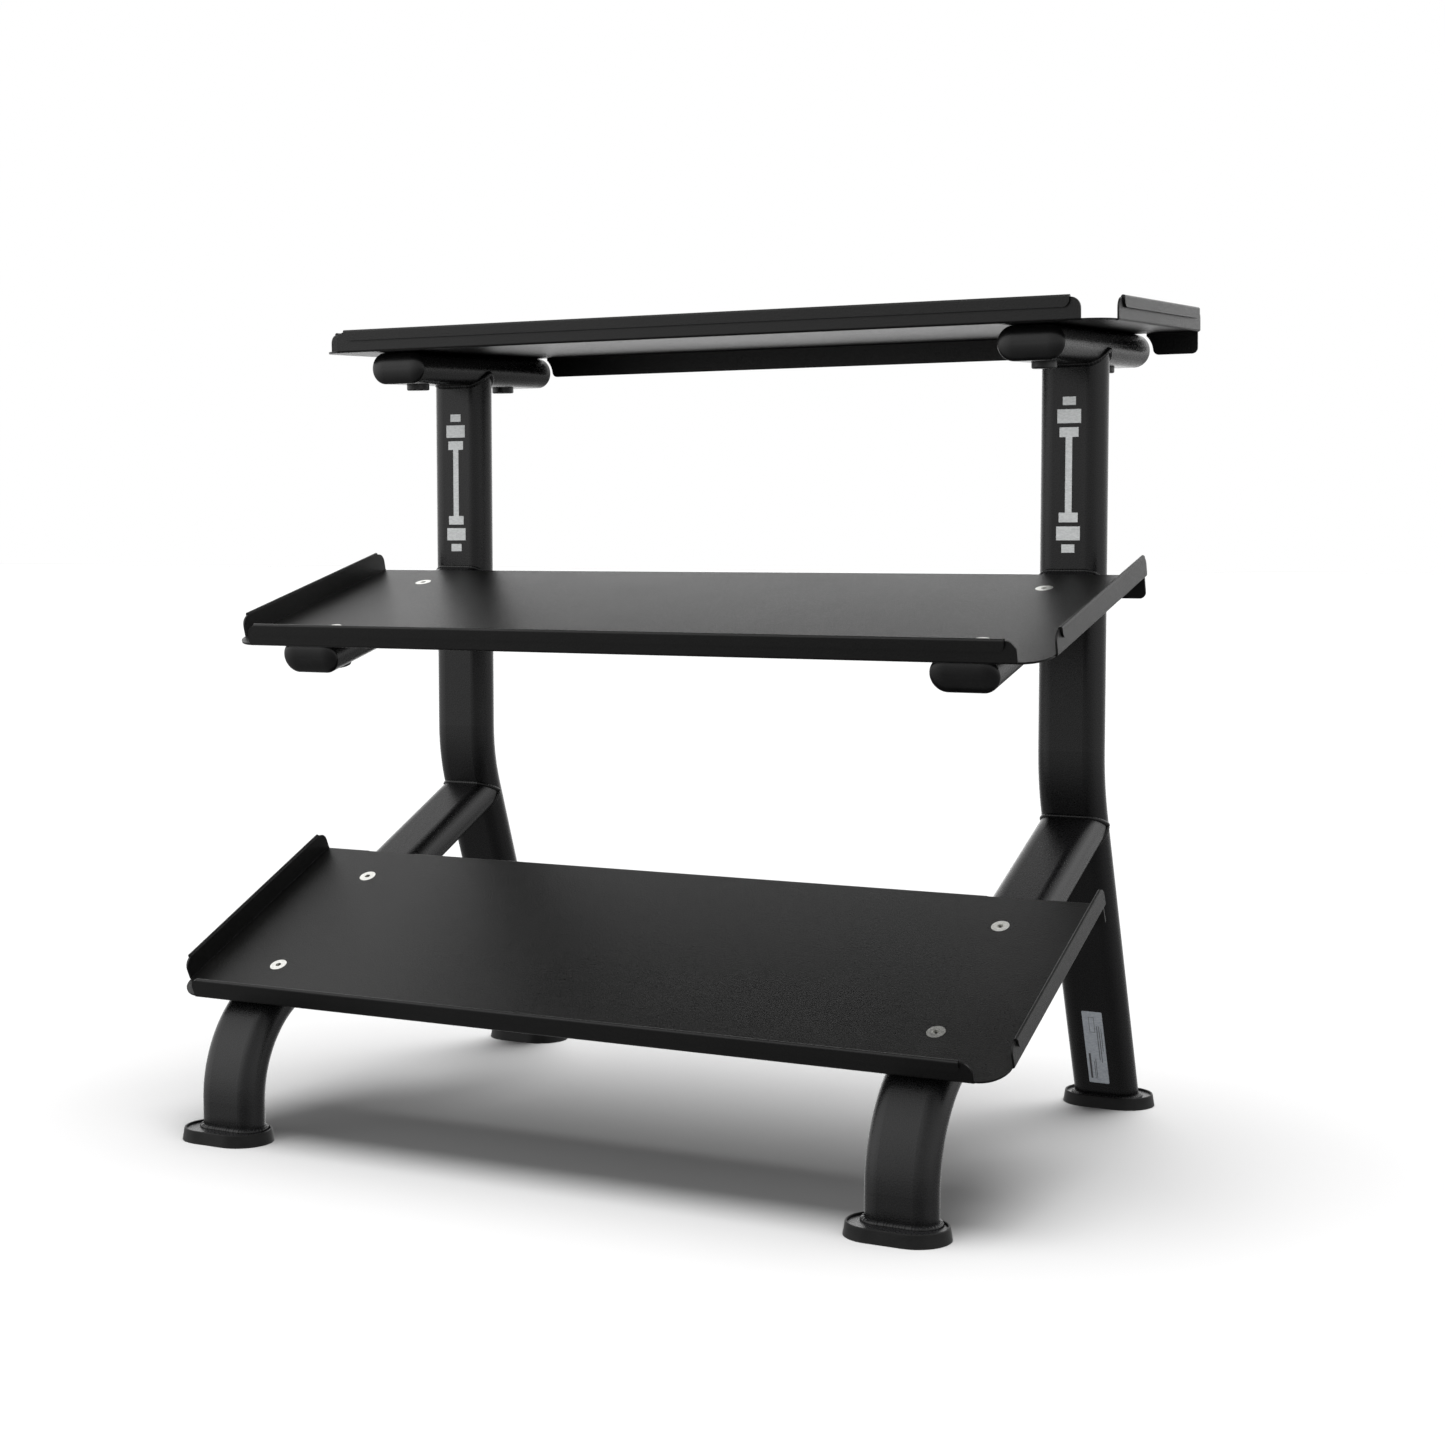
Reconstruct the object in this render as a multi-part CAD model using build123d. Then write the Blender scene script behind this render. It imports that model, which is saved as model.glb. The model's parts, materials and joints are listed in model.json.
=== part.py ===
from build123d import *
import os
from math import cos, radians, sin, tan

# Dumbbell rack: three sloping trays bolted to two welded side frames.
# Millimetres. +X runs along the trays, +Y to the back of the rack, +Z up.
# The origin is on the floor, in the middle of the rack's footprint.

# Side frames, of flat-oval tube with its wide side across the rack
FRAME_SPACING = 1064
TUBE_WIDTH = 100
TUBE_DEPTH = 50
TUBE_WALL = 3
UPRIGHT_Y = 220
UPRIGHT_KINK_Z = 514
UPRIGHT_BEND_RADIUS = 290
REAR_LEG_LEAN = 20
FRONT_LEG_Y = -396
BASE_BEND_RADIUS = 162
TOP_ARM_START = 44
TOP_ARM_LENGTH = 375
MIDDLE_ARM_START = 31
COPE_OVERLAP = 5

# Trays, bent from sheet: where each front edge lies, and its slope in degrees
TRAYS = {
    "top": {"front_y": -9, "front_z": 1172, "tilt": 2},
    "middle": {"front_y": -236.5, "front_z": 715.5, "tilt": 15},
    "bottom": {"front_y": -376, "front_z": 198, "tilt": 25},
}
TRAY_WIDTH = 1320
TRAY_DEPTH = 420
SHEET = 3
BEND_OUTER_RADIUS = 3.5
PLATE_CORNER_RADIUS = 41
LIP_HEIGHT = 32.5
LIP_CORNER_RADIUS = 15
HEM_HEIGHT = 17
HEM_GAP = 0.5
HEM_CORNER_RADIUS = 10
REAR_FLANGE_DEPTH = 35
REAR_FLANGE_CORNER_RADIUS = 9
NOTCH_CLEARANCE = 6
NOTCH_DROP = 2
NOTCH_RELIEF_WIDTH = 91
NOTCH_RELIEF_DEPTH = 8

# Fasteners: M12 countersunk socket screws, flush with the plates, thin nuts and round covers
SCREW_PLACES = (96, 346)
SCREW_DIAMETER = 12
HOLE_DIAMETER = 13
HEAD_DIAMETER = 25.5
HEAD_LAND = 0.3
SOCKET_ACROSS_FLATS = 8
SOCKET_DEPTH = 5
WASHER_DIAMETER = 24
WASHER_THICKNESS = 1.5
NUT_ACROSS_FLATS = 19
NUT_HEIGHT = 6
FIT_CLEARANCE = 0.1
NUT_COVER_DIAMETER = 36
NUT_COVER_HEIGHT = 9.5
NUT_COVER_CAVITY = 26
NUT_COVER_ROOF = 1.7
NUT_COVER_EDGE_RADIUS = 2.5

# Tube end caps: a domed face on a hollow plug
CAP_DOME = 8.5
CAP_PLUG_LENGTH = 18
CAP_PLUG_WALL = 2.5
CAP_PLUG_CLEARANCE = 0.2
CAP_SECTIONS = 7

# Feet: a welded plate in a rubber cup
FOOT_SPACING = 820
FOOT_WIDTH = 143
FOOT_LENGTH = 93
FOOT_HEIGHT = 18
FOOT_DRAFT = 9.5
FOOT_EDGE_RADIUS = 1.6
CUP_FLOOR = 9
PLATE_WIDTH = 131
PLATE_LENGTH = 81
PLATE_THICKNESS = 6
PLATE_CLEARANCE = 0.3

# Printed film on the uprights and on the right rear leg
FILM = 0.25
MARK_CENTRE_Z = 967
MARK_WIDTH = 36
MARK_BLOCKS = ((0.55, 12), (1.0, 20), (0.8, 14), (0.28, 109), (0.8, 14), (1.0, 20), (0.55, 12))
MARK_GAP = 6
LABEL_WIDTH = 32
LABEL_LENGTH = 126
LABEL_UP_LEG = 98

# Worked out from the dimensions above
SIDES = {"left": -FRAME_SPACING / 2, "right": FRAME_SPACING / 2}
PLATE_TOP = CUP_FLOOR + PLATE_THICKNESS
ARM_AXIS_DROP = SHEET + TUBE_DEPTH / 2
REAR_FOOT_Y = FOOT_SPACING / 2
FRONT_FOOT_Y = -FOOT_SPACING / 2
BEND_INNER_RADIUS = BEND_OUTER_RADIUS - SHEET
HEM_OUTER_RADIUS = SHEET + HEM_GAP / 2
WALL_TOP = LIP_HEIGHT - HEM_OUTER_RADIUS
FLAT_WIDTH = TRAY_WIDTH - 2 * BEND_OUTER_RADIUS
FLAT_DEPTH = TRAY_DEPTH - 2 * BEND_OUTER_RADIUS


def tray_place(tray):
    """From a tray's own frame (X along, Y up the slope, Z out of the plate) to the rack's."""
    return Pos(0, tray["front_y"], tray["front_z"]) * Rot(tray["tilt"], 0, 0)


def on_tray(tray, along, above):
    """The rack's Y and Z of a point given along a tray's slope and above its plate."""
    slope = radians(tray["tilt"])
    y = tray["front_y"] + along * cos(slope) - above * sin(slope)
    z = tray["front_z"] + along * sin(slope) + above * cos(slope)
    return y, z


# ---- flat-oval tube ----

def oval(inset):
    return SlotOverall(TUBE_WIDTH - 2 * inset, TUBE_DEPTH - 2 * inset)


def swept_oval(path, inset=0):
    start = Plane(origin=path @ 0, x_dir=(1, 0, 0), z_dir=path % 0)
    return sweep(start * oval(inset), path=path)


def tube(path):
    return swept_oval(path) - swept_oval(path, TUBE_WALL)


def below(height, x, y):
    """A block that removes whatever reaches below a height round one foot."""
    depth = 200
    return Pos(x, y, height - depth / 2) * Box(2 * TUBE_WIDTH, 2 * depth, depth)


def upright_path(x):
    top_y, top_z = on_tray(TRAYS["top"], TOP_ARM_START + TOP_ARM_LENGTH / 2, -ARM_AXIS_DROP)
    lean = tan(radians(REAR_LEG_LEAN))
    kink = (x, UPRIGHT_Y, UPRIGHT_KINK_Z)
    foot = (x, UPRIGHT_Y + UPRIGHT_KINK_Z * lean, 0)
    past = (x, 2 * foot[1] - UPRIGHT_Y - (UPRIGHT_KINK_Z - 40) * lean, -40)
    return FilletPolyline((x, UPRIGHT_Y, top_z - COPE_OVERLAP), kink, past,
                          radius=UPRIGHT_BEND_RADIUS)


def base_leg_path(x):
    tray = TRAYS["bottom"]
    axis_y, axis_z = on_tray(tray, 0, -ARM_AXIS_DROP)
    slope = tan(radians(tray["tilt"]))
    kink = (x, FRONT_LEG_Y, axis_z + (FRONT_LEG_Y - axis_y) * slope)
    end_y = UPRIGHT_Y + TUBE_DEPTH / 4
    end = (x, end_y, axis_z + (end_y - axis_y) * slope)
    return FilletPolyline((x, FRONT_LEG_Y, PLATE_TOP), kink, end, radius=BASE_BEND_RADIUS)


def middle_arm_path(x):
    start = on_tray(TRAYS["middle"], MIDDLE_ARM_START, -ARM_AXIS_DROP)
    slope = tan(radians(TRAYS["middle"]["tilt"]))
    end = (UPRIGHT_Y, start[1] + (UPRIGHT_Y - start[0]) * slope)
    return Line((x, *start), (x, *end))


def top_arm_path(x):
    start = on_tray(TRAYS["top"], TOP_ARM_START, -ARM_AXIS_DROP)
    end = on_tray(TRAYS["top"], TOP_ARM_START + TOP_ARM_LENGTH, -ARM_AXIS_DROP)
    return Line((x, *start), (x, *end))


def countersink(clearance):
    """A screw's flush head, with its top on the XY plane, grown all round by a clearance."""
    rim = HEAD_DIAMETER / 2 + clearance
    tip = SCREW_DIAMETER / 2 + clearance
    land = Pos(0, 0, -HEAD_LAND / 2) * Cylinder(rim, HEAD_LAND)
    return land + Pos(0, 0, -HEAD_LAND - (rim - tip) / 2) * Cone(tip, rim, rim - tip)


def screw_hole(x, along):
    """One countersunk hole through a tray and the tube under it, in the tray's own frame."""
    depth = 2 * TUBE_DEPTH
    shaft = Pos(0, 0, -depth / 2) * Cylinder(HOLE_DIAMETER / 2, depth)
    return Pos(x, along, 0) * (shaft + countersink(FIT_CLEARANCE))


def drilled(shape, tray, x):
    """A tube with the holes of the tray above it."""
    for along in SCREW_PLACES:
        shape -= tray_place(tray) * screw_hole(x, along)
    return shape


def side_frame(side, x):
    """One welded side frame, as its separate tubes."""
    upright_envelope = swept_oval(upright_path(x))
    top_arm_envelope = swept_oval(top_arm_path(x))
    upright = tube(upright_path(x)) - top_arm_envelope
    upright -= below(PLATE_TOP, x, REAR_FOOT_Y)
    base_leg = tube(base_leg_path(x)) - upright_envelope
    middle_arm = tube(middle_arm_path(x)) - upright_envelope
    return {
        f"{side}_upright": upright,
        f"{side}_base_leg": drilled(base_leg, TRAYS["bottom"], x),
        f"{side}_middle_arm": drilled(middle_arm, TRAYS["middle"], x),
        f"{side}_top_arm": drilled(tube(top_arm_path(x)), TRAYS["top"], x),
    }


# ---- end caps ----

def cap():
    """Domed cap on the XY plane, facing +Z, with its plug reaching down into the tube."""
    sections = []
    for step in range(CAP_SECTIONS):
        turn = radians(84) * step / (CAP_SECTIONS - 1)
        inset = TUBE_DEPTH / 2 * (1 - cos(turn))
        sections.append(Pos(0, 0, CAP_DOME * sin(turn)) * oval(inset))
    dome = loft(sections)
    plug_inset = TUBE_WALL + CAP_PLUG_CLEARANCE
    plug = oval(plug_inset) - oval(plug_inset + CAP_PLUG_WALL)
    return dome + extrude(plug, -CAP_PLUG_LENGTH)


def caps(side, x):
    """The three caps of one side frame."""
    front, rear = 90, -90
    placed = {}
    for name, tray, along, facing in (
        ("top_arm_front_cap", TRAYS["top"], TOP_ARM_START, front),
        ("top_arm_rear_cap", TRAYS["top"], TOP_ARM_START + TOP_ARM_LENGTH, rear),
        ("middle_arm_front_cap", TRAYS["middle"], MIDDLE_ARM_START, front),
    ):
        end = Pos(x, along, -ARM_AXIS_DROP) * Rot(facing, 0, 0)
        placed[f"{side}_{name}"] = tray_place(tray) * end * cap()
    return placed


# ---- trays ----

def corner_bend(length):
    """A quarter bend along X, between the plate's underside and an upright wall."""
    ring = Circle(BEND_OUTER_RADIUS) - Circle(BEND_INNER_RADIUS)
    corner = BEND_OUTER_RADIUS / 2
    quarter = ring & Pos(-corner, -corner) * Rectangle(BEND_OUTER_RADIUS, BEND_OUTER_RADIUS)
    return extrude(Plane.YZ * quarter, length / 2, both=True)


def fold(length):
    """The half round along X, on top of a lip, that turns the sheet outwards and down."""
    ring = Circle(HEM_OUTER_RADIUS) - Circle(HEM_GAP / 2)
    upper = ring & Pos(0, HEM_OUTER_RADIUS / 2) * Rectangle(2 * HEM_OUTER_RADIUS, HEM_OUTER_RADIUS)
    return extrude(Plane.YZ * upper, length / 2, both=True)


def upright_wall(start, end, bottom, top):
    return Pos((start + end) / 2, 0, (bottom + top) / 2) * Box(end - start, SHEET, top - bottom)


def lip(start, end):
    """Lip along X from start to end, its outer face on the XZ plane, hemmed to the outside."""
    middle = (start + end) / 2
    wall = Pos(0, SHEET / 2, 0) * upright_wall(start, end, BEND_INNER_RADIUS, WALL_TOP)
    wall = fillet(wall.edges().filter_by(Axis.Y).group_by(Axis.Z)[-1], LIP_CORNER_RADIUS)
    bend = Pos(middle, BEND_OUTER_RADIUS, BEND_INNER_RADIUS) * corner_bend(end - start)
    hem_start = start + LIP_CORNER_RADIUS
    hem_end = end - LIP_CORNER_RADIUS
    turn = Pos(middle, -HEM_GAP / 2, WALL_TOP) * fold(hem_end - hem_start)
    flap = Pos(0, -HEM_GAP - SHEET / 2, 0) * upright_wall(
        hem_start, hem_end, LIP_HEIGHT - HEM_HEIGHT, WALL_TOP)
    flap = fillet(flap.edges().filter_by(Axis.Y).group_by(Axis.Z)[0], HEM_CORNER_RADIUS)
    return wall + bend + turn + flap


def front_lip():
    half = TRAY_WIDTH / 2 - PLATE_CORNER_RADIUS
    return lip(-half, half)


def side_lips():
    left = lip(-TRAY_DEPTH, -PLATE_CORNER_RADIUS)
    left = Pos(-TRAY_WIDTH / 2, 0, 0) * Rot(0, 0, -90) * left
    return [left, mirror(left, about=Plane.YZ)]


def plate():
    """The flat of the tray, which ends where the bends begin."""
    outline = Pos(0, TRAY_DEPTH / 2) * Rectangle(FLAT_WIDTH, FLAT_DEPTH)
    front_corners = outline.vertices().group_by(Axis.Y)[0]
    outline = fillet(front_corners, PLATE_CORNER_RADIUS - BEND_OUTER_RADIUS)
    return extrude(outline, -SHEET)


def rear_flange():
    """The wall turned down at the back, with a notch round each arm."""
    top = -BEND_OUTER_RADIUS
    height = REAR_FLANGE_DEPTH - BEND_OUTER_RADIUS
    shape = Pos(0, top - height / 2) * Rectangle(FLAT_WIDTH, height)
    notch = oval(-NOTCH_CLEARANCE)
    for x in SIDES.values():
        shape -= Pos(x, -ARM_AXIS_DROP - NOTCH_DROP) * notch
        shape -= Pos(x, -NOTCH_RELIEF_DEPTH / 2) * Rectangle(NOTCH_RELIEF_WIDTH, NOTCH_RELIEF_DEPTH)
    shape = fillet(shape.vertices().group_by(Axis.Y)[0], REAR_FLANGE_CORNER_RADIUS)
    back = Plane(origin=(0, TRAY_DEPTH, 0), x_dir=(1, 0, 0), z_dir=(0, -1, 0))
    wall = extrude(back * shape, SHEET)
    bend = Rot(180, 0, 0) * corner_bend(FLAT_WIDTH)
    bend = Pos(0, TRAY_DEPTH - BEND_OUTER_RADIUS, -BEND_OUTER_RADIUS) * bend
    for x in SIDES.values():
        relief = Box(NOTCH_RELIEF_WIDTH, 2 * BEND_OUTER_RADIUS, 2 * NOTCH_RELIEF_DEPTH)
        bend -= Pos(x, TRAY_DEPTH, 0) * relief
    return wall + bend


def drilled_plate():
    shape = plate()
    for x in SIDES.values():
        for along in SCREW_PLACES:
            shape -= screw_hole(x, along)
    return shape


def tray_sheet():
    """The parts of one folded sheet, which meet face to face where its bends begin."""
    lips = Compound(children=[front_lip(), *side_lips()])
    return {"tray": drilled_plate(), "tray_lips": lips, "tray_rear_flange": rear_flange()}


# ---- fasteners, drawn at a tray's hole, +Z out of the plate ----

def hexagon(across_flats):
    return RegularPolygon(across_flats / 2, 6, major_radius=False)


def screw():
    under_nut = SHEET + TUBE_DEPTH + WASHER_THICKNESS + NUT_HEIGHT
    shank = extrude(Circle(SCREW_DIAMETER / 2), -under_nut)
    socket = extrude(hexagon(SOCKET_ACROSS_FLATS), -SOCKET_DEPTH)
    return countersink(0) + shank - socket


def washer():
    ring = Circle(WASHER_DIAMETER / 2) - Circle(HOLE_DIAMETER / 2)
    return Pos(0, 0, -SHEET - TUBE_DEPTH) * extrude(ring, -WASHER_THICKNESS)


def nut():
    shape = hexagon(NUT_ACROSS_FLATS) - Circle(SCREW_DIAMETER / 2 + FIT_CLEARANCE)
    return Pos(0, 0, -SHEET - TUBE_DEPTH - WASHER_THICKNESS) * extrude(shape, -NUT_HEIGHT)


def nut_cover():
    body = extrude(Circle(NUT_COVER_DIAMETER / 2), -NUT_COVER_HEIGHT)
    body = fillet(body.edges().group_by(Axis.Z)[0], NUT_COVER_EDGE_RADIUS)
    cavity = extrude(Circle(NUT_COVER_CAVITY / 2), -(NUT_COVER_HEIGHT - NUT_COVER_ROOF))
    return Pos(0, 0, -SHEET - TUBE_DEPTH) * (body - cavity)


def at_screws(place, piece):
    """Four copies of a fastener, one at each of a tray's screws."""
    copies = [Pos(x, along, 0) * piece for x in SIDES.values() for along in SCREW_PLACES]
    return place * Compound(children=copies)


# ---- feet ----

def foot_pad():
    """Rubber cup, drafted, with a recess for the foot plate."""
    body = extrude(SlotOverall(FOOT_WIDTH, FOOT_LENGTH), FOOT_HEIGHT, taper=FOOT_DRAFT)
    recess = Pos(0, 0, CUP_FLOOR) * extrude(SlotOverall(PLATE_WIDTH, PLATE_LENGTH), FOOT_HEIGHT)
    body -= recess
    return fillet(body.edges().group_by(Axis.Z)[-1], FOOT_EDGE_RADIUS)


def foot_plate():
    gap = 2 * PLATE_CLEARANCE
    shape = SlotOverall(PLATE_WIDTH - gap, PLATE_LENGTH - gap)
    return Pos(0, 0, CUP_FLOOR) * extrude(shape, PLATE_THICKNESS)


def feet(side, x):
    placed = {}
    for end, y in (("front", FRONT_FOOT_Y), ("rear", REAR_FOOT_Y)):
        placed[f"{side}_{end}_foot_pad"] = Pos(x, y, 0) * foot_pad()
        placed[f"{side}_{end}_foot_plate"] = Pos(x, y, 0) * foot_plate()
    return placed


# ---- printed film ----

def upright_mark(x):
    """A plain upright dumbbell sign: plates and a handle, cut from thin film."""
    total = sum(height for _, height in MARK_BLOCKS) + MARK_GAP * 4
    z = MARK_CENTRE_Z - total / 2
    blocks = []
    for index, (share, height) in enumerate(MARK_BLOCKS):
        centre = (x, UPRIGHT_Y - TUBE_DEPTH / 2 - FILM / 2, z + height / 2)
        blocks.append(Pos(*centre) * Box(MARK_WIDTH * share, FILM, height))
        touches_handle = index in (2, 3)
        z += height + (0 if touches_handle else MARK_GAP)
    return Compound(children=blocks)


def leg_label(x):
    """A plain label on the front of the sloping rear leg."""
    lean = radians(REAR_LEG_LEAN)
    leg_y = UPRIGHT_Y + (UPRIGHT_KINK_Z - PLATE_TOP) * tan(lean)
    out = TUBE_DEPTH / 2 + FILM / 2
    y = leg_y - LABEL_UP_LEG * sin(lean) - out * cos(lean)
    z = PLATE_TOP + LABEL_UP_LEG * cos(lean) - out * sin(lean)
    sheet = Box(LABEL_WIDTH, FILM, LABEL_LENGTH)
    sheet = fillet(sheet.edges().filter_by(Axis.Y), 2)
    return Pos(x, y, z) * Rot(REAR_LEG_LEAN, 0, 0) * sheet


def main():
    nodes = {}
    for side, x in SIDES.items():
        nodes.update(side_frame(side, x))
        nodes.update(caps(side, x))
        nodes.update(feet(side, x))
        nodes[f"{side}_upright_mark"] = upright_mark(x)
    nodes["right_leg_label"] = leg_label(SIDES["right"])
    sheet = tray_sheet()
    for name, spec in TRAYS.items():
        place = tray_place(spec)
        for part, shape in sheet.items():
            nodes[f"{name}_{part}"] = place * shape
        nodes[f"{name}_tray_screws"] = at_screws(place, screw())
        nodes[f"{name}_tray_washers"] = at_screws(place, washer())
        nodes[f"{name}_tray_nuts"] = at_screws(place, nut())
        nodes[f"{name}_tray_nut_covers"] = at_screws(place, nut_cover())
    os.makedirs("parts", exist_ok=True)
    for node, shape in nodes.items():
        export_step(shape, f"parts/{node}.step")


main()
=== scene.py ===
import json
import math
import random

import bpy
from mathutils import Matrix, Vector


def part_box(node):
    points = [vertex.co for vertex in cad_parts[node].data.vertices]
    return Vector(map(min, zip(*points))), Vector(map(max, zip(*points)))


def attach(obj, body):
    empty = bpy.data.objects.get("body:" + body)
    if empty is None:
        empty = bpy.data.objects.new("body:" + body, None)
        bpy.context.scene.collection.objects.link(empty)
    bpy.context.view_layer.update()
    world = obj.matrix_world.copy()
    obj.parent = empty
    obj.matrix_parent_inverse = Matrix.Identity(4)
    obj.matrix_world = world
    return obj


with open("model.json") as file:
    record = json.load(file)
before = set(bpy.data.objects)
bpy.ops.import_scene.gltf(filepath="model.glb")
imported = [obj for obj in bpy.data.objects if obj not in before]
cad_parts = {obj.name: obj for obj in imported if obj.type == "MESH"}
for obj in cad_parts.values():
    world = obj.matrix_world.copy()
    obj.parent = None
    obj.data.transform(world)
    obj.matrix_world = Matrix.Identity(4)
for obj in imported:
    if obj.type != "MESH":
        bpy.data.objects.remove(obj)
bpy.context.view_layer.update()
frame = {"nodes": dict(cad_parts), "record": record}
nodes = frame["nodes"]

BODY = "root"
MM = 0.001

# The side frames' flat-oval tubes, in millimetres in the shared frame
HALF_WIDTH = 50
HALF_DEPTH = 25
SIDES = {"left": -532, "right": 532}
UPRIGHT_Y = 220
KINK_Z = 514
BEND_RADIUS = 290
LEAN = math.radians(20)
# How far an arm's axis lies below the top face of its tray's plate
AXIS_DROP = 28
FOOT_PLATE_TOP = 15
FRONT_LEG_Y = -396
# Each tray's front edge at its plate's top face, Y and Z, and its tilt in degrees
TRAYS = {"top": (-9, 1172, 2), "middle": (-236.5, 715.5, 15), "bottom": (-376, 198, 25)}

# Weld beads, in millimetres: radii of the ropes, and how they are divided
FOOT_WELD_RADIUS = 5.0
FOOT_WELD_STANDS_OFF = 0.6
TOP_WELD_RADIUS = 4.4
# Keeps the top weld's ring off the very edge of the arm's section, where it turns upright
TOP_WELD_NARROWED = 0.985
SLOPING_WELD_RADII = {"middle": 3.2, "bottom": 3.4}
BEAD_STEP = 0.7
BEAD_SIDES = 12
FOOT_RING_POINTS = 72
JOINT_RING_POINTS = 96
# Ripples along a bead: spacing in millimetres, the rest as shares of its radius
RIPPLE_SPACING = 4.2
RIPPLE_RISE = 0.10
RIPPLE_MIDDLE = 0.4
RIPPLE_WOBBLE = 0.05

# The search along a sloping tube for the upright's front: millimetres, and halvings
SEARCH_NEAR = 300.0
SEARCH_FAR = 900.0
SEARCH_STEPS = 40

# The leg label's print, in millimetres: across, up the leg, width, length
LABEL_BARS = (
    (-10.5, -33, 3.2, 44),
    (-4.2, -40, 0.8, 30),
    (-1.8, -38, 0.8, 34),
    (5.5, 8, 1.0, 60),
    (8.8, 6, 1.0, 64),
    (12, 14, 0.8, 40),
)
LABEL_BOX = (
    (2.0, 40, 0.6, 26),
    (-6.0, 40, 0.6, 26),
    (-2.0, 53, 8.6, 0.6),
    (-2.0, 27, 8.6, 0.6),
)
PRINT_STANDS_OFF = 0.2
PRINT_THICKNESS = 0.12

# The camera solved from the photograph, in metres and degrees
CAMERA_PLACE = (1.7178, -3.1383, 0.8724)
CAMERA_LOOKS_DOWN = 4.3284
CAMERA_TURNS_LEFT = 27.728
CAMERA_LENS = 59.95
CAMERA_SENSOR = 36.0

# Floor in metres, and the overhead light, with its width and tilt in degrees
FLOOR_REACH = 60
FLOOR_GREY = 0.138
SUN_STRENGTH = 20.5
SUN_WIDTH = 50
SUN_TILT = -7.5

# Light from the surroundings: place from straight down (0) to straight up (1), and level there
SKY_LEVELS = (
    (0.25, 0.19), (0.38, 0.26), (0.44, 0.36), (0.48, 0.56), (0.51, 0.72),
    (0.60, 0.72), (0.77, 0.70), (0.90, 0.64), (0.92, 0.58), (0.94, 0.22), (0.96, 0.09), (1.0, 0.06),
)
SKY_STRENGTH = 2.5
# Broad soft patches: direction, added level, tightness
SOFT_PATCHES = (
    ((-0.78, -0.62, 0.15), 1.7, 7.0),
    ((-0.50, -0.60, 0.62), 1.6, 10.0),
    ((-0.45, 0.90, -0.12), 1.1, 14.0),
    ((0.12, 0.92, 0.35), 0.3, 20.0),
    ((0.57, 0.61, 0.55), 2.6, 22.0),
    ((1.00, -0.15, 0.05), 0.8, 5.0),
)


# ---------------------------------------------------------------- camera, light, floor

def link(thing):
    bpy.context.scene.collection.objects.link(thing)
    return thing


def add_piece(name, mesh, material):
    """A new piece of the object, in a slot's finish."""
    mesh.materials.append(material)
    piece = link(bpy.data.objects.new(name, mesh))
    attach(piece, BODY)


def add_camera():
    data = bpy.data.cameras.new("camera")
    data.sensor_width = CAMERA_SENSOR
    data.lens = CAMERA_LENS
    camera = link(bpy.data.objects.new("camera", data))
    camera.location = CAMERA_PLACE
    camera.rotation_euler = (math.radians(90 - CAMERA_LOOKS_DOWN), 0, math.radians(CAMERA_TURNS_LEFT))
    bpy.context.scene.camera = camera


def add_floor():
    mesh = bpy.data.meshes.new("floor")
    corners = [(FLOOR_REACH * x, FLOOR_REACH * y, 0) for x, y in ((-1, -1), (1, -1), (1, 1), (-1, 1))]
    mesh.from_pydata(corners, [], [(0, 1, 2, 3)])
    floor = link(bpy.data.objects.new("floor", mesh))
    material = bpy.data.materials.new("floor")
    material.use_nodes = True
    shader = material.node_tree.nodes["Principled BSDF"]
    shader.inputs["Base Color"].default_value = (FLOOR_GREY, FLOOR_GREY, FLOOR_GREY, 1)
    shader.inputs["Roughness"].default_value = 0.9
    shader.inputs["Specular IOR Level"].default_value = 0.0
    mesh.materials.append(material)
    floor.visible_glossy = False


def add_sun():
    data = bpy.data.lights.new("overhead", "SUN")
    data.energy = SUN_STRENGTH
    data.angle = math.radians(SUN_WIDTH)
    sun = link(bpy.data.objects.new("overhead", data))
    sun.rotation_euler = (math.radians(SUN_TILT), 0, 0)
    sun.visible_glossy = False


def sky_level(tree, where):
    """How bright the surroundings are by height alone."""
    new, join = tree.nodes.new, tree.links.new
    parts = new("ShaderNodeSeparateXYZ")
    join(where, parts.inputs[0])
    height = new("ShaderNodeMapRange")
    height.inputs["From Min"].default_value = -1
    height.inputs["From Max"].default_value = 1
    join(parts.outputs["Z"], height.inputs["Value"])
    ramp = new("ShaderNodeValToRGB")
    join(height.outputs[0], ramp.inputs["Fac"])
    stops = ramp.color_ramp.elements
    stops.remove(stops[1])
    for index, (place, level) in enumerate(SKY_LEVELS):
        stop = stops[0] if index == 0 else stops.new(place)
        stop.position = place
        stop.color = (level, level, level, 1)
    scaled = new("ShaderNodeMath")
    scaled.operation = "MULTIPLY"
    scaled.inputs[1].default_value = SKY_STRENGTH
    join(ramp.outputs["Color"], scaled.inputs[0])
    return scaled.outputs[0]


def with_patch(tree, where, total, direction, level, tightness):
    """The surroundings so far, with one soft patch of light added."""
    new, join = tree.nodes.new, tree.links.new
    facing = new("ShaderNodeVectorMath")
    facing.operation = "DOT_PRODUCT"
    facing.inputs[1].default_value = Vector(direction).normalized()
    join(where, facing.inputs[0])
    towards = new("ShaderNodeMath")
    towards.operation = "MAXIMUM"
    towards.inputs[1].default_value = 0.0
    join(facing.outputs["Value"], towards.inputs[0])
    lobe = new("ShaderNodeMath")
    lobe.operation = "POWER"
    lobe.inputs[1].default_value = tightness
    join(towards.outputs[0], lobe.inputs[0])
    added = new("ShaderNodeMath")
    added.operation = "MULTIPLY_ADD"
    added.inputs[1].default_value = level
    join(lobe.outputs[0], added.inputs[0])
    join(total, added.inputs[2])
    return added.outputs[0]


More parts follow.
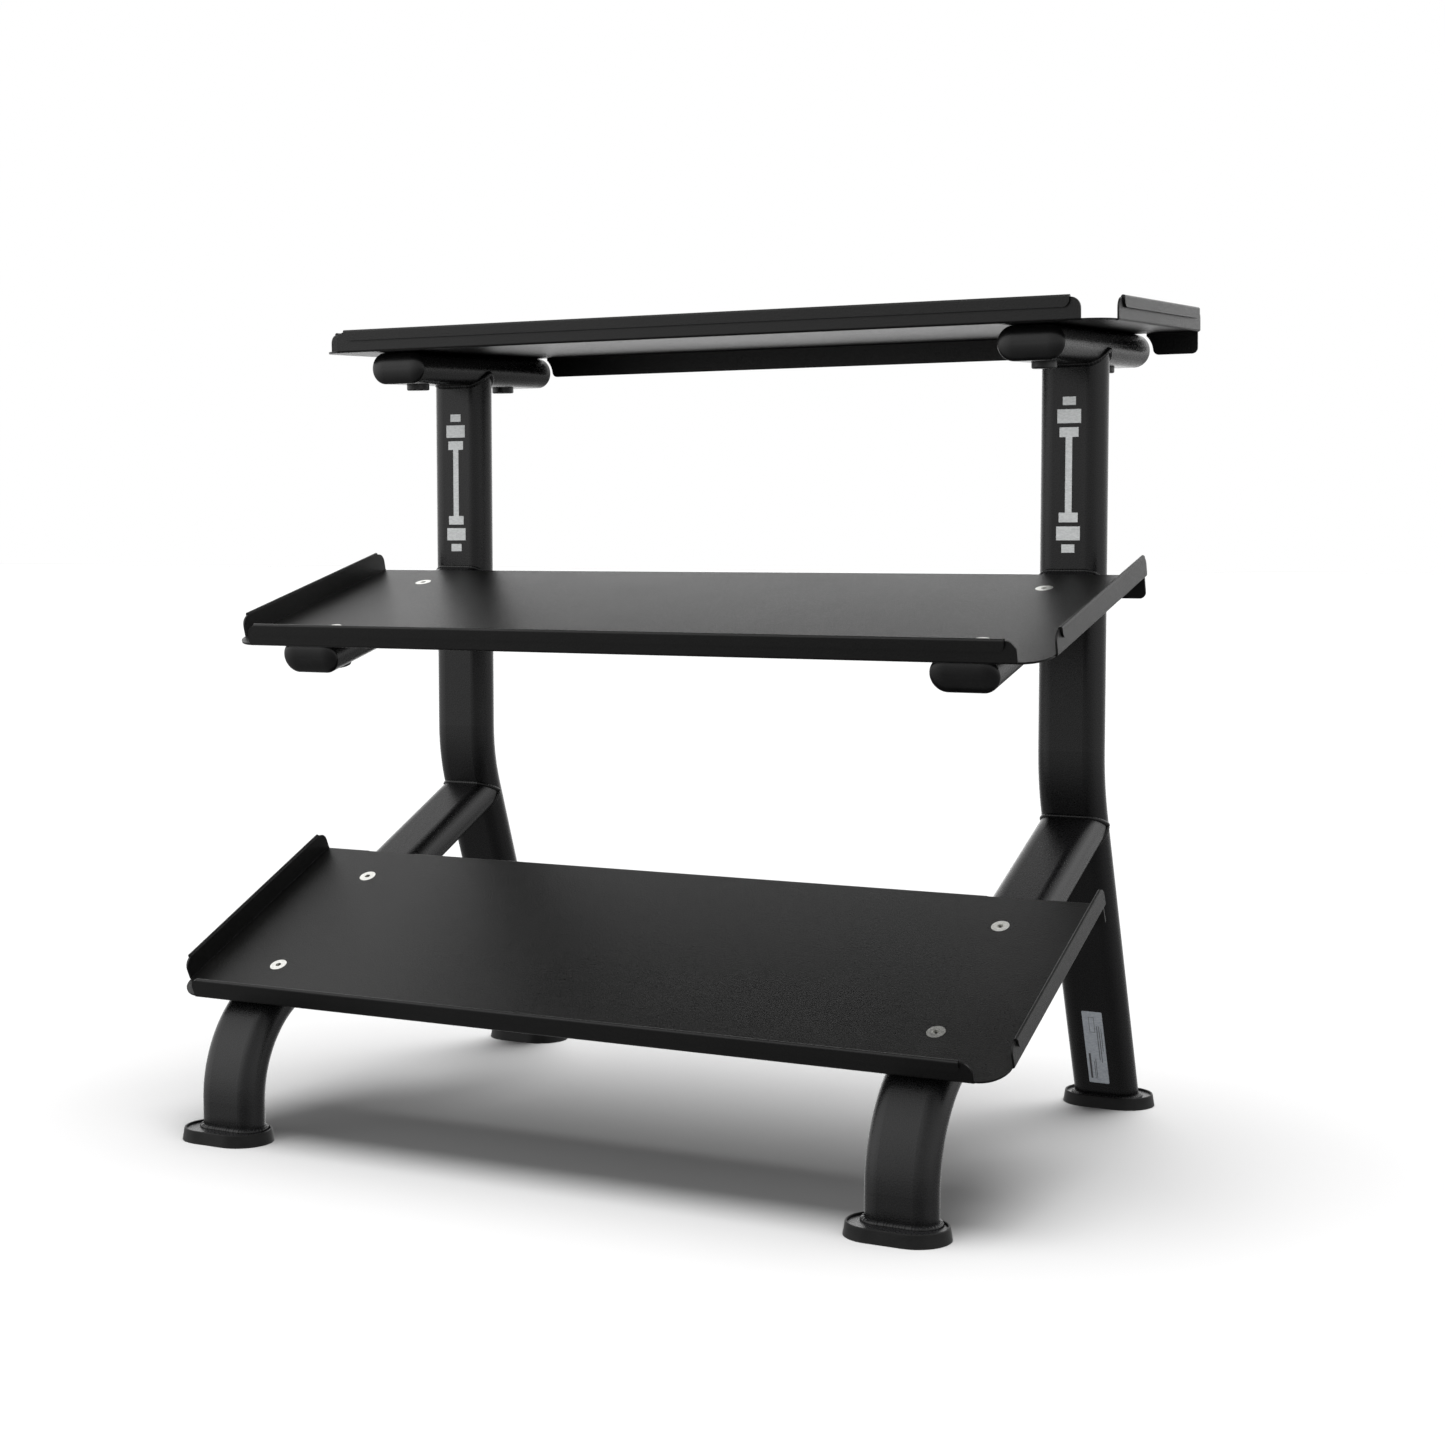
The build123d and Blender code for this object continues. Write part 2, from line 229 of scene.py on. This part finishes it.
def add_world():
    """Soft studio surroundings, with broad patches of light. The camera itself sees plain white."""
    world = bpy.data.worlds.new("studio")
    bpy.context.scene.world = world
    world.use_nodes = True
    tree = world.node_tree
    tree.nodes.clear()
    new, join = tree.nodes.new, tree.links.new
    where = new("ShaderNodeTexCoord").outputs["Generated"]
    total = sky_level(tree, where)
    for direction, level, tightness in SOFT_PATCHES:
        total = with_patch(tree, where, total, direction, level, tightness)
    lit = new("ShaderNodeBackground")
    join(total, lit.inputs["Strength"])
    seen = new("ShaderNodeBackground")
    seen.inputs["Color"].default_value = (1, 1, 1, 1)
    path = new("ShaderNodeLightPath")
    mix = new("ShaderNodeMixShader")
    output = new("ShaderNodeOutputWorld")
    join(path.outputs["Is Camera Ray"], mix.inputs["Fac"])
    join(lit.outputs[0], mix.inputs[1])
    join(seen.outputs[0], mix.inputs[2])
    join(mix.outputs[0], output.inputs["Surface"])


# ---------------------------------------------------------------- materials

class Look:
    """A Principled material, and short ways to add texture to it in the object's own metres."""

    def __init__(self, name):
        self.material = bpy.data.materials.new(name)
        self.material.use_nodes = True
        self.tree = self.material.node_tree
        self.shader = self.tree.nodes["Principled BSDF"]
        self.place = self.tree.nodes.new("ShaderNodeTexCoord").outputs["Object"]

    def new(self, kind):
        return self.tree.nodes.new(kind)

    def join(self, source, target):
        self.tree.links.new(source, target)

    def set(self, **values):
        for name, value in values.items():
            self.shader.inputs[name.replace("_", " ")].default_value = value

    def noise(self, scale, detail=2.0, roughness=0.5, stretch=None):
        node = self.new("ShaderNodeTexNoise")
        node.inputs["Scale"].default_value = scale
        node.inputs["Detail"].default_value = detail
        node.inputs["Roughness"].default_value = roughness
        if stretch:
            mapping = self.new("ShaderNodeMapping")
            mapping.inputs["Scale"].default_value = stretch
            self.join(self.place, mapping.inputs["Vector"])
            self.join(mapping.outputs[0], node.inputs["Vector"])
        else:
            self.join(self.place, node.inputs["Vector"])
        return node.outputs["Fac"]

    def spread(self, value, low, high, start=0.3, end=0.7):
        """Takes a noise from its usual middle band to low..high."""
        node = self.new("ShaderNodeMapRange")
        node.inputs["From Min"].default_value = start
        node.inputs["From Max"].default_value = end
        node.inputs["To Min"].default_value = low
        node.inputs["To Max"].default_value = high
        self.join(value, node.inputs["Value"])
        return node.outputs[0]

    def blend(self, first, share, second, second_share):
        """The weighted sum of two values."""
        first_part = self.scaled(first, share)
        return self.add(first_part, self.scaled(second, second_share))

    def scaled(self, value, share):
        node = self.new("ShaderNodeMath")
        node.operation = "MULTIPLY"
        self.join(value, node.inputs[0])
        node.inputs[1].default_value = share
        return node.outputs[0]

    def add(self, first, second):
        node = self.new("ShaderNodeMath")
        node.operation = "ADD"
        self.join(first, node.inputs[0])
        self.join(second, node.inputs[1])
        return node.outputs[0]

    def colour(self, value, dark, light):
        node = self.new("ShaderNodeMix")
        node.data_type = "RGBA"
        self.join(value, node.inputs["Factor"])
        node.inputs["A"].default_value = (*dark, 1)
        node.inputs["B"].default_value = (*light, 1)
        self.join(node.outputs["Result"], self.shader.inputs["Base Color"])
        return node

    def rough(self, value):
        self.join(value, self.shader.inputs["Roughness"])

    def bump(self, value, strength, distance):
        node = self.new("ShaderNodeBump")
        node.inputs["Strength"].default_value = strength
        node.inputs["Distance"].default_value = distance
        self.join(value, node.inputs["Height"])
        self.join(node.outputs[0], self.shader.inputs["Normal"])


def powder_coat(name, dark, light, roughness, grain):
    """Black powder coat: an even pebble over a finer one, faint clouding, and specks of more gloss."""
    look = Look(name)
    look.set(IOR=1.27)
    clouds = look.noise(9.0, detail=5.0, roughness=0.6)
    pebble = look.noise(430.0, detail=3.0, roughness=0.65)
    speck = look.noise(1100.0, roughness=0.7)
    tone = look.blend(clouds, 0.35, pebble, 0.65)
    look.colour(look.spread(tone, 0.0, 1.0, start=0.36, end=0.64), dark, light)
    wander = look.spread(clouds, roughness - 0.012, roughness + 0.012)
    sparkle = look.spread(pebble, -0.07, 0.07)
    look.rough(look.add(wander, sparkle))
    relief = look.add(pebble, look.scaled(speck, 0.5))
    look.bump(relief, grain, distance=0.0014)
    return look.material


def moulded(name, dark, light, roughness, grain, ior, scale=1100.0):
    """Moulded plastic or rubber: an even skin, with faint flow marks."""
    look = Look(name)
    look.set(IOR=ior)
    skin = look.noise(scale, roughness=0.55)
    flow = look.noise(26.0, detail=4.0, roughness=0.65, stretch=(1.0, 1.0, 2.2))
    tone = look.blend(flow, 0.7, skin, 0.3)
    look.colour(look.spread(tone, 0.0, 1.0, start=0.38, end=0.62), dark, light)
    wander = look.spread(flow, roughness - 0.015, roughness + 0.02)
    look.rough(look.add(wander, look.spread(skin, -0.04, 0.04)))
    look.bump(skin, grain, distance=0.0008)
    return look.material


def zinc(name, dark, light):
    """Zinc plate: fine turning marks, cloudy patches of duller plate, and painted shade deep in the sockets.
    """
    look = Look(name)
    look.set(Metallic=1.0)
    patches = look.noise(240.0, detail=5.0, roughness=0.7)
    turning = look.noise(900.0, roughness=0.6, stretch=(0.25, 2.5, 1.0))
    plate = look.colour(look.spread(patches, 0.0, 1.0), dark, light)
    # Painted shade: ambient occlusion blends the base colour to near-black inside the sockets and other
    # recesses, standing in for the shade that falls there
    hollow = look.new("ShaderNodeAmbientOcclusion")
    hollow.inputs["Distance"].default_value = 0.004
    painted_socket_shade = look.new("ShaderNodeMix")
    painted_socket_shade.data_type = "RGBA"
    look.join(look.spread(hollow.outputs["AO"], 0.0, 1.0, start=0.45, end=0.8), painted_socket_shade.inputs["Factor"])
    painted_socket_shade.inputs["A"].default_value = (0.012, 0.012, 0.012, 1)
    look.join(plate.outputs["Result"], painted_socket_shade.inputs["B"])
    look.join(painted_socket_shade.outputs["Result"], look.shader.inputs["Base Color"])
    look.rough(look.spread(turning, 0.24, 0.42))
    look.bump(turning, 0.25, distance=0.0004)
    return look.material


def film(name, dark, light, roughness):
    """Printed film: even, slightly glossy, with a little scuffing."""
    look = Look(name)
    look.set(IOR=1.4)
    scuffs = look.noise(160.0, detail=6.0, roughness=0.75, stretch=(1.0, 1.0, 3.0))
    fibre = look.noise(2400.0, detail=1.0)
    look.colour(look.spread(scuffs, 0.0, 1.0, start=0.35, end=0.6), dark, light)
    look.rough(look.spread(fibre, roughness - 0.06, roughness + 0.06))
    look.bump(fibre, 0.08, distance=0.0004)
    return look.material


def make_paints():
    return {
        "frame_paint": powder_coat(
            "frame_paint", (0.0014, 0.0014, 0.0015), (0.0040, 0.0040, 0.0042), roughness=0.27, grain=0.15),
        "tray_paint": powder_coat(
            "tray_paint", (0.0007, 0.0007, 0.0007), (0.0022, 0.0022, 0.0021), roughness=0.34, grain=0.30),
    }


def make_mouldings():
    return {
        "cap_plastic": moulded(
            "cap_plastic", (0.0018, 0.0018, 0.0019), (0.0036, 0.0036, 0.0037),
            roughness=0.24, grain=0.06, ior=1.29),
        "foot_rubber": moulded(
            "foot_rubber", (0.002, 0.002, 0.002), (0.0045, 0.0045, 0.0045),
            roughness=0.46, grain=0.30, ior=1.19, scale=520.0),
        "nut_cover_plastic": moulded(
            "nut_cover_plastic", (0.004, 0.004, 0.004), (0.008, 0.008, 0.008),
            roughness=0.40, grain=0.05, ior=1.35),
    }


def make_metals_and_films():
    return {
        "screw_zinc": zinc("screw_zinc", (0.62, 0.62, 0.58), (0.86, 0.86, 0.83)),
        "nut_zinc": zinc("nut_zinc", (0.52, 0.52, 0.50), (0.78, 0.78, 0.75)),
        "mark_film": film("mark_film", (0.34, 0.35, 0.35), (0.48, 0.49, 0.49), roughness=0.5),
        "label_film": film("label_film", (0.21, 0.225, 0.245), (0.31, 0.33, 0.355), roughness=0.35),
    }


def dress(looks):
    """Gives every CAD node the material of its slot."""
    for entry in frame["record"]["subparts"]:
        node = nodes[entry["node"]]
        node.data.materials.clear()
        node.data.materials.append(looks[entry["material_slot"]])


# ---------------------------------------------------------------- the tubes' surfaces, in millimetres

def half_depth(dx):
    """How far the flat-oval tube's broad face stands off its axis, dx across from the middle."""
    over = abs(dx) - (HALF_WIDTH - HALF_DEPTH)
    if over <= 0:
        return HALF_DEPTH
    return math.sqrt(max(HALF_DEPTH ** 2 - over ** 2, 0.0))


def oval_points(count, depth_scale=1.0, grow=0.0):
    """Points round the flat-oval section, evenly spaced along its edge: across, and front to back."""
    straight = 2 * (HALF_WIDTH - HALF_DEPTH)
    radius = HALF_DEPTH
    around = 2 * straight + 2 * math.pi * radius
    points = []
    for index in range(count):
        along = around * index / count
        if along < straight:
            point = (along - straight / 2, -radius - grow)
        elif along < straight + math.pi * radius:
            turn = (along - straight) / radius - math.pi / 2
            point = (straight / 2 + (radius + grow) * math.cos(turn), (radius + grow) * math.sin(turn))
        elif along < 2 * straight + math.pi * radius:
            point = (straight / 2 - (along - straight - math.pi * radius), radius + grow)
        else:
            turn = (along - 2 * straight - math.pi * radius) / radius + math.pi / 2
            point = (-straight / 2 + (radius + grow) * math.cos(turn), (radius + grow) * math.sin(turn))
        points.append((point[0], point[1] * depth_scale))
    return points


def upright_axis(z):
    """Y of an upright's axis at a height, and its lean there."""
    reach = BEND_RADIUS * math.tan(LEAN / 2)
    top = KINK_Z + reach
    if z >= top:
        return UPRIGHT_Y, 0.0
    if top - z >= BEND_RADIUS * math.sin(LEAN):
        return UPRIGHT_Y + (KINK_Z - z) * math.tan(LEAN), LEAN
    turn = math.asin((top - z) / BEND_RADIUS)
    return UPRIGHT_Y + BEND_RADIUS * (1 - math.cos(turn)), turn


def on_tray(tray, along, above):
    """Y and Z of a point along a tray's slope and above its plate."""
    front_y, front_z, tilt = TRAYS[tray]
    slope = math.radians(tilt)
    y = front_y + along * math.cos(slope) - above * math.sin(slope)
    z = front_z + along * math.sin(slope) + above * math.cos(slope)
    return y, z


def meets_upright(tray, dx, above):
    """Where a line along a sloping tube meets the upright's front: dx across, and above its tray's plate."""
    near, far = SEARCH_NEAR, SEARCH_FAR
    for _ in range(SEARCH_STEPS):
        middle = (near + far) / 2
        y, z = on_tray(tray, middle, above)
        axis, lean = upright_axis(z)
        if y < axis - half_depth(dx) / math.cos(lean):
            near = middle
        else:
            far = middle
    return on_tray(tray, near, above)


# ---------------------------------------------------------------- weld beads

def directions_at(loop, index):
    """The smoothed directions of a closed loop at one of its points and at the next."""
    count = len(loop)
    ahead = (loop[(index + 1) % count] - loop[index]).normalized()
    behind = (loop[index] - loop[index - 1]).normalized()
    beyond = (loop[(index + 2) % count] - loop[(index + 1) % count]).normalized()
    return (behind + ahead).normalized(), (ahead + beyond).normalized()


def bead_ring(centre, tangent, size):
    """The points of one ring of a bead, in metres, round a centre given in millimetres."""
    side = tangent.cross(Vector((0, 0, 1)))
    side = side.normalized() if side.length > 0.05 else Vector((1, 0, 0))
    up = side.cross(tangent).normalized()
    points = []
    for turn in range(BEAD_SIDES):
        angle = 2 * math.pi * turn / BEAD_SIDES
        points.append((centre + side * (size * math.cos(angle)) + up * (size * math.sin(angle))) * MM)
    return points


def bead_faces(rings):
    faces = []
    for ring in range(rings):
        here = ring * BEAD_SIDES
        after = (ring + 1) % rings * BEAD_SIDES
        for turn in range(BEAD_SIDES):
            beside = (turn + 1) % BEAD_SIDES
            faces.append((here + turn, here + beside, after + beside, after + turn))
    return faces


def bead_points(centres, radius, seed):
    """The points of every ring of a closed bead, along a loop of points given in millimetres."""
    chance = random.Random(seed)
    loop = [Vector(point) for point in centres]
    count = len(loop)
    lengths = [(loop[(i + 1) % count] - loop[i]).length for i in range(count)]
    total = sum(lengths)
    rings = int(total / BEAD_STEP)
    ripples = max(round(total / RIPPLE_SPACING), 1)
    wobble = [chance.uniform(-1, 1) for _ in range(ripples)]
    points = []
    done = 0.0
    index = 0
    for ring in range(rings):
        at = total * ring / rings
        while at > done + lengths[index]:
            done += lengths[index]
            index += 1
        share = (at - done) / lengths[index]
        centre = loop[index].lerp(loop[(index + 1) % count], share)
        start, end = directions_at(loop, index)
        phase = at / total * ripples
        wave = phase - math.floor(phase)
        ripple = RIPPLE_RISE * (wave * wave - RIPPLE_MIDDLE)
        size = radius * (1 + ripple + RIPPLE_WOBBLE * wobble[int(phase) % ripples])
        points += bead_ring(centre, start.lerp(end, share).normalized(), size)
    return points


def add_bead(name, centres, radius, material, seed):
    """A closed weld bead: a rippled round rope."""
    points = bead_points(centres, radius, seed)
    mesh = bpy.data.meshes.new(name)
    mesh.from_pydata(points, [], bead_faces(len(points) // BEAD_SIDES))
    mesh.polygons.foreach_set("use_smooth", [True] * len(mesh.polygons))
    add_piece(name, mesh, material)


def foot_ring(x, y, depth_scale):
    """Round a leg's end, on its foot plate."""
    points = oval_points(FOOT_RING_POINTS, depth_scale, FOOT_WELD_STANDS_OFF)
    return [(x + dx, y + dy, FOOT_PLATE_TOP) for dx, dy in points]


def sloping_ring(x, tray):
    """Round a sloping tube, where it meets the upright's front."""
    points = oval_points(JOINT_RING_POINTS)
    return [(x + dx, *meets_upright(tray, dx, n - AXIS_DROP)) for dx, n in points]


def top_ring(x):
    """Round an upright's end, where it meets the underside of its top arm."""
    front_y, front_z, tilt = TRAYS["top"]
    slope = math.radians(tilt)
    ring = []
    for dx, dy in oval_points(JOINT_RING_POINTS):
        y = UPRIGHT_Y + dy
        axis_z = front_z + (y - front_y) * math.tan(slope) - AXIS_DROP / math.cos(slope)
        ring.append((x + dx, y, axis_z - half_depth(dx * TOP_WELD_NARROWED) / math.cos(slope)))
    return ring


def add_welds(material):
    rear_y, _ = upright_axis(FOOT_PLATE_TOP)
    for number, (side, x) in enumerate(SIDES.items()):
        seed = 100 * number
        front_foot = foot_ring(x, FRONT_LEG_Y, 1.0)
        add_bead(f"{side}_front_foot_weld", front_foot, FOOT_WELD_RADIUS, material, seed + 1)
        rear_foot = foot_ring(x, rear_y, 1 / math.cos(LEAN))
        add_bead(f"{side}_rear_foot_weld", rear_foot, FOOT_WELD_RADIUS, material, seed + 2)
        for tray, radius in SLOPING_WELD_RADII.items():
            ring = sloping_ring(x, tray)
            add_bead(f"{side}_{tray}_joint_weld", ring, radius, material, seed + 3 + len(tray))
        add_bead(f"{side}_top_joint_weld", top_ring(x), TOP_WELD_RADIUS, material, seed + 20)


# ---------------------------------------------------------------- the leg label's plain print

def print_material():
    look = Look("label_print")
    look.set(IOR=1.4)
    grain = look.noise(1800.0)
    look.colour(look.spread(grain, 0.0, 1.0), (0.03, 0.03, 0.032), (0.055, 0.056, 0.06))
    look.rough(look.spread(grain, 0.42, 0.55))
    return look.material


def add_label_print():
    """Plain bars and a box on the right rear leg's label: print that says nothing."""
    low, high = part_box("right_leg_label")
    middle = (low + high) / 2
    up = Vector((0, -math.sin(LEAN), math.cos(LEAN)))
    out = Vector((0, -math.cos(LEAN), -math.sin(LEAN)))
    vertices = []
    faces = []
    for x, along, width, length in LABEL_BARS + LABEL_BOX:
        start = len(vertices)
        for depth in (PRINT_STANDS_OFF, PRINT_STANDS_OFF + PRINT_THICKNESS):
            for sx, sz in ((-1, -1), (1, -1), (1, 1), (-1, 1)):
                point = middle + out * (depth * MM) + up * ((along + sz * length / 2) * MM)
                vertices.append(point + Vector(((x + sx * width / 2) * MM, 0, 0)))
        faces.append((start + 4, start + 5, start + 6, start + 7))
        for side in range(4):
            beside = (side + 1) % 4
            faces.append((start + side, start + beside, start + 4 + beside, start + 4 + side))
    mesh = bpy.data.meshes.new("label_print")
    mesh.from_pydata(vertices, [], faces)
    add_piece("right_leg_label_print", mesh, print_material())


add_camera()
add_floor()
add_sun()
add_world()
looks = {**make_paints(), **make_mouldings(), **make_metals_and_films()}
dress(looks)
add_welds(looks["frame_paint"])
add_label_print()
bpy.context.scene.view_settings.view_transform = "Standard"
